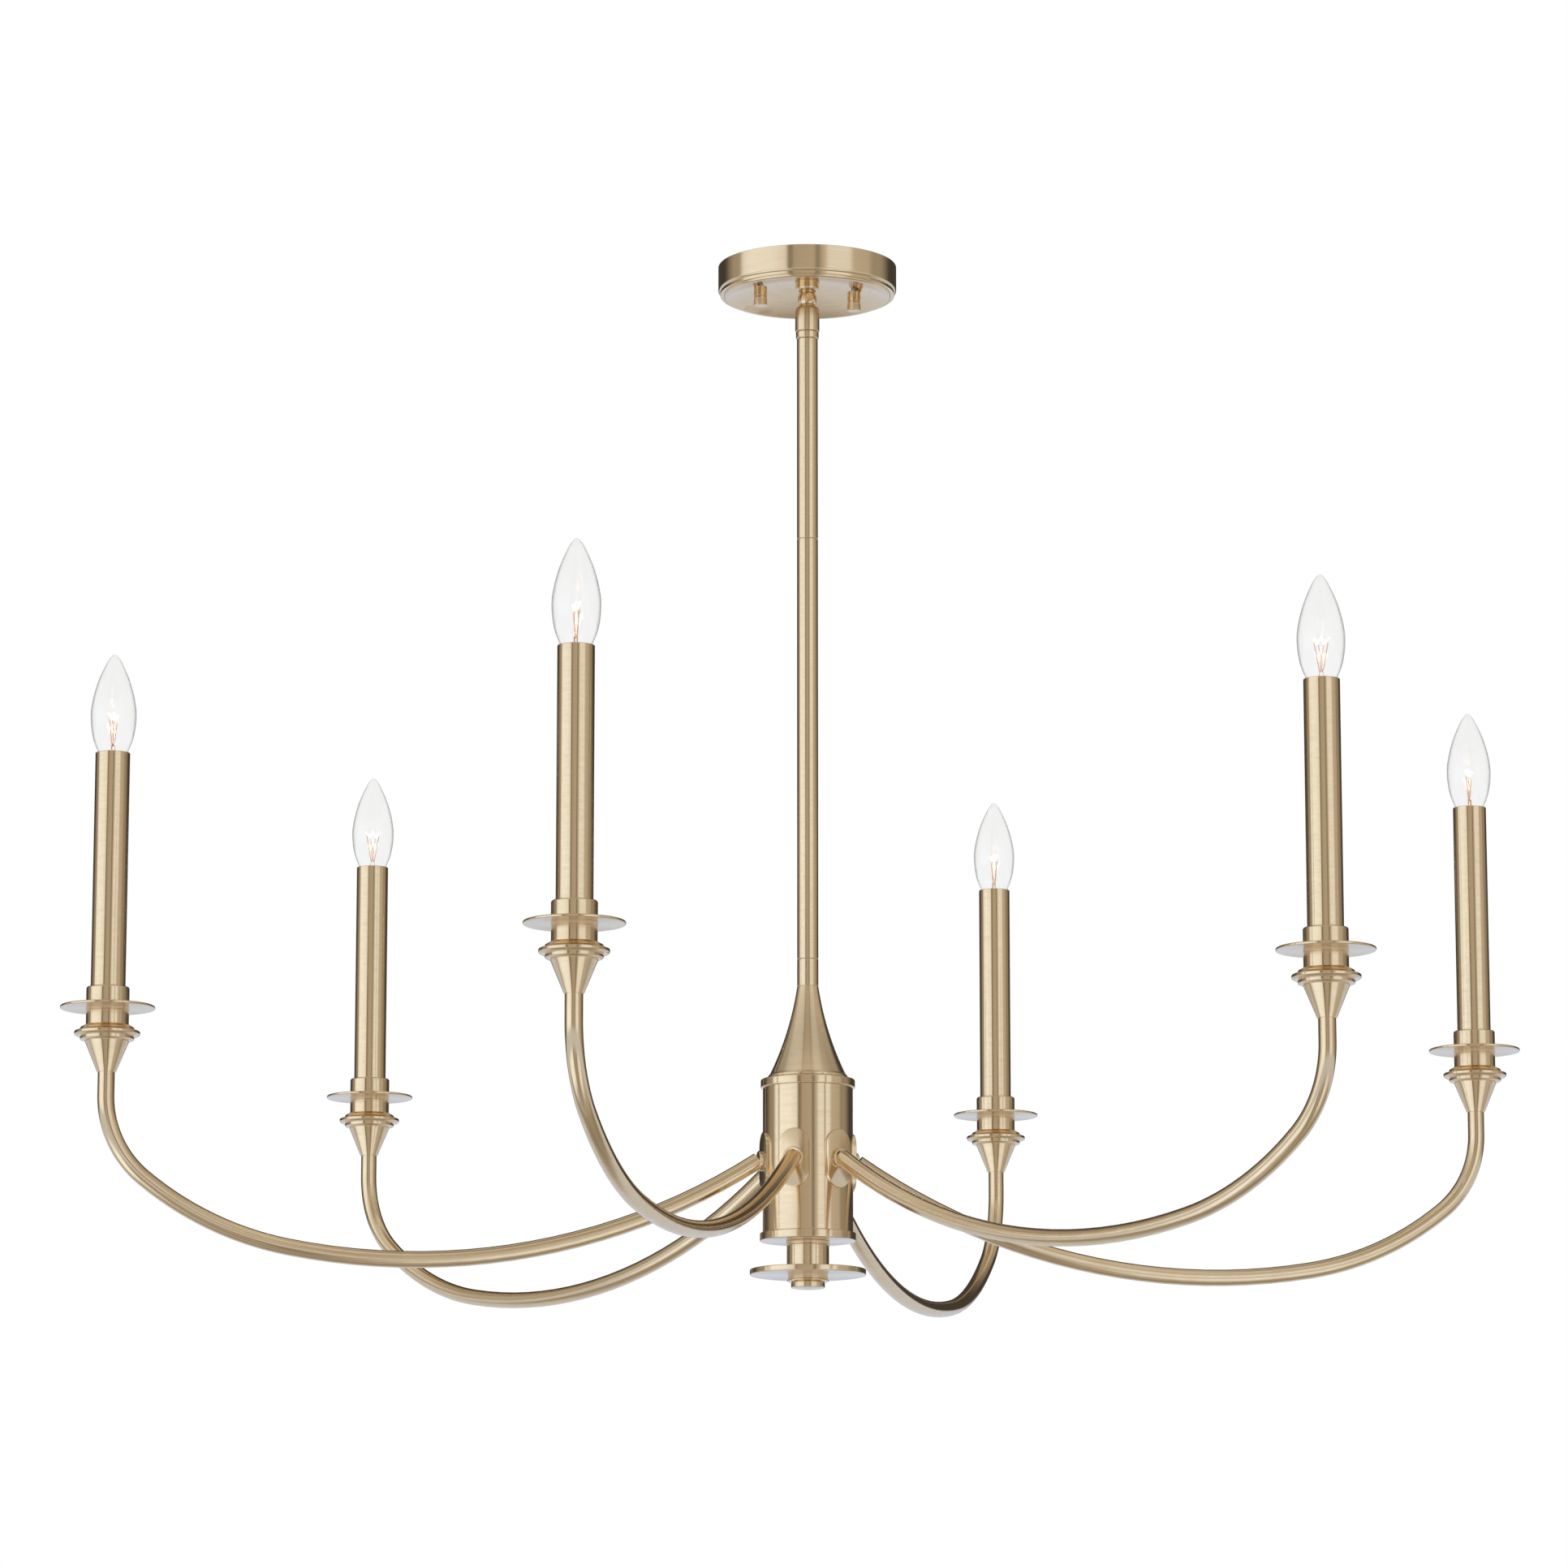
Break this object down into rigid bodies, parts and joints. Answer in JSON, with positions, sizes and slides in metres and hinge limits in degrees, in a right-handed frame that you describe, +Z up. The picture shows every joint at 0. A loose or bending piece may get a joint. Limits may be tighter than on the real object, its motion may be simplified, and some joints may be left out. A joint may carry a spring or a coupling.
{
  "type": "candle-style chandelier",
  "caption": "Hanging light with a round ceiling canopy, a sectional stem, a cylindrical hub and swept arms that carry candle sleeves with clear flame bulbs.",
  "frame": {"origin": "centre of the ceiling strap, on the ceiling plane", "axes": "+Z up towards the ceiling, +X along arm 1 and along the strap, arms every 60 degrees"},
  "size_m": [1.066, 0.9318, 0.7472],
  "materials": {
    "satin_brass": "satin, fine circumferential brushing, clear lacquer",
    "zinc_steel": "zinc plated",
    "bonding_green": "green dyed",
    "wire_nut_plastic": "moulded",
    "wire_insulation": "smooth insulation",
    "socket_plastic": "moulded phenolic",
    "socket_brass": "pressed",
    "clear_glass": "clear, thin blown",
    "nickel_cap": "nickel plated"
  },
  "bodies": {
    "ceiling_mount": {"canopy_pan": "satin_brass", "mounting_strap": "zinc_steel", "ground_screw": "bonding_green", "canopy_studs": "zinc_steel", "knob_spacers": "satin_brass", "hang_nipple": "zinc_steel", "nipple_nut": "zinc_steel", "wire_nuts": "wire_nut_plastic", "canopy_leads": "wire_insulation", "swivel_collar": "satin_brass", "swivel_upper": "satin_brass"},
    "canopy_knob_1": {"canopy_knob_1": "satin_brass"},
    "canopy_knob_2": {"canopy_knob_2": "satin_brass"},
    "swivel": {"swivel_lower": "satin_brass", "knuckle_screw": "satin_brass"},
    "chandelier": {"coupler": "satin_brass", "stem_upper": "satin_brass", "stem_lower": "satin_brass", "stem_nipples": "zinc_steel", "stem_end_collar": "satin_brass", "bell": "satin_brass", "hub_top_plate": "satin_brass", "hub_shell": "satin_brass", "hub_bottom_plate": "satin_brass", "centre_rod": "zinc_steel", "lock_nuts": "zinc_steel", "bottom_post": "satin_brass", "bottom_disc": "satin_brass", "bottom_collar": "satin_brass", "finial_cap": "satin_brass", "arm_plates": "satin_brass", "arm_ferrules": "satin_brass", "candle_cones": "satin_brass", "cup_flanges": "satin_brass", "candle_cups": "satin_brass", "bobeches": "satin_brass", "sleeve_collars": "satin_brass", "candle_sleeves": "satin_brass", "candle_nipples": "zinc_steel", "lamp_sockets": "socket_plastic", "socket_shells": "socket_brass", "lamp_wires": "wire_insulation", "arm_1": "satin_brass", "arm_2": "satin_brass", "arm_3": "satin_brass", "arm_4": "satin_brass", "arm_5": "satin_brass", "arm_6": "satin_brass"},
    "bulb_1": {"bulb_1_glass": "clear_glass", "bulb_1_base": "nickel_cap"},
    "bulb_2": {"bulb_2_glass": "clear_glass", "bulb_2_base": "nickel_cap"},
    "bulb_3": {"bulb_3_glass": "clear_glass", "bulb_3_base": "nickel_cap"},
    "bulb_4": {"bulb_4_glass": "clear_glass", "bulb_4_base": "nickel_cap"},
    "bulb_5": {"bulb_5_glass": "clear_glass", "bulb_5_base": "nickel_cap"},
    "bulb_6": {"bulb_6_glass": "clear_glass", "bulb_6_base": "nickel_cap"}
  },
  "joints": [
    {"name": "knuckle_tilt", "type": "hinge", "parent": "ceiling_mount", "child": "swivel", "pos_m": [0, 0, -0.0238], "axis": [0, 1, 0], "range_deg": [-30, 30]},
    {"name": "stem_spin", "type": "hinge", "parent": "swivel", "child": "chandelier", "pos_m": [0, 0, -0.0364], "axis": [0, 0, 1], "range_deg": [-175, 175]},
    {"name": "canopy_knob_1_unscrew", "type": "slide", "parent": "ceiling_mount", "child": "canopy_knob_1", "axis": [0, 0, -1], "range_m": [0, 0.012]},
    {"name": "canopy_knob_2_unscrew", "type": "slide", "parent": "ceiling_mount", "child": "canopy_knob_2", "axis": [0, 0, -1], "range_m": [0, 0.012]},
    {"name": "bulb_1_unscrew", "type": "slide", "parent": "chandelier", "child": "bulb_1", "axis": [0, 0, 1], "range_m": [0, 0.06]},
    {"name": "bulb_2_unscrew", "type": "slide", "parent": "chandelier", "child": "bulb_2", "axis": [0, 0, 1], "range_m": [0, 0.06]},
    {"name": "bulb_3_unscrew", "type": "slide", "parent": "chandelier", "child": "bulb_3", "axis": [0, 0, 1], "range_m": [0, 0.06]},
    {"name": "bulb_4_unscrew", "type": "slide", "parent": "chandelier", "child": "bulb_4", "axis": [0, 0, 1], "range_m": [0, 0.06]},
    {"name": "bulb_5_unscrew", "type": "slide", "parent": "chandelier", "child": "bulb_5", "axis": [0, 0, 1], "range_m": [0, 0.06]},
    {"name": "bulb_6_unscrew", "type": "slide", "parent": "chandelier", "child": "bulb_6", "axis": [0, 0, 1], "range_m": [0, 0.06]}
  ]
}
